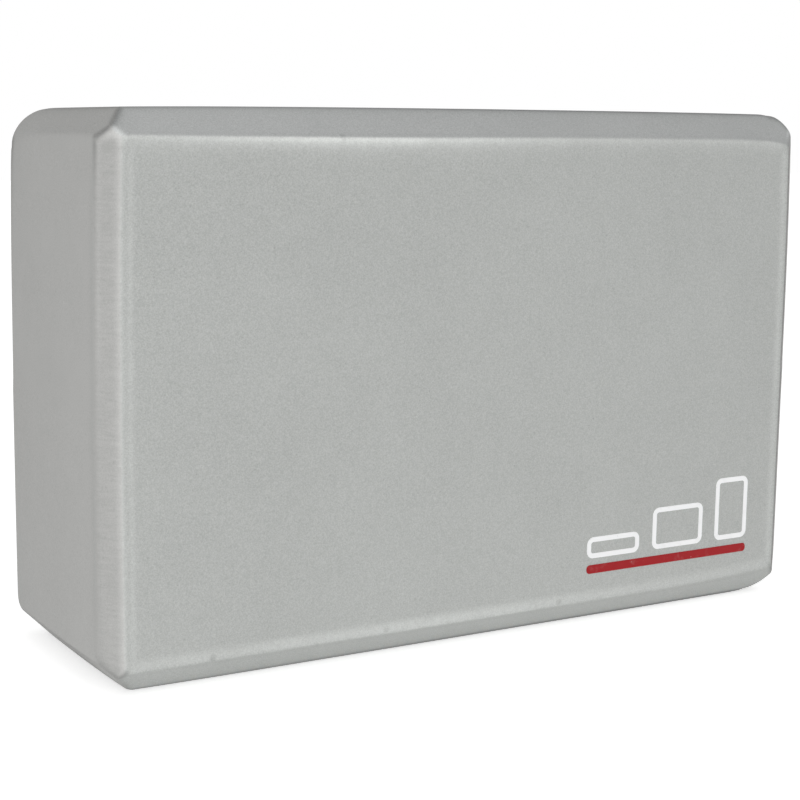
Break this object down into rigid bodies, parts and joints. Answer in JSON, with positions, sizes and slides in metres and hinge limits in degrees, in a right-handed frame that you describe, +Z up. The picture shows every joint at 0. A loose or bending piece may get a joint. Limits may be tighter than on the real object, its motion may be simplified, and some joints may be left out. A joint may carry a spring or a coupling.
{
  "type": "yoga block",
  "caption": "Firm foam yoga block with bevelled edges and a small printed mark, used at low, middle or full height.",
  "frame": {"origin": "centre of the long narrow side that the block stands on, at floor level", "axes": "+Z up as it stands, +X along its length to the printed face's right, +Y through its thickness away from the printed face"},
  "size_m": [0.228, 0.0751, 0.15],
  "materials": {
    "foam": "matte closed-cell foam",
    "white_film": "matte print film",
    "red_film": "matte print film"
  },
  "bodies": {
    "root": {"foam_block": "foam", "white_print": "white_film", "red_print": "red_film"}
  },
  "joints": []
}
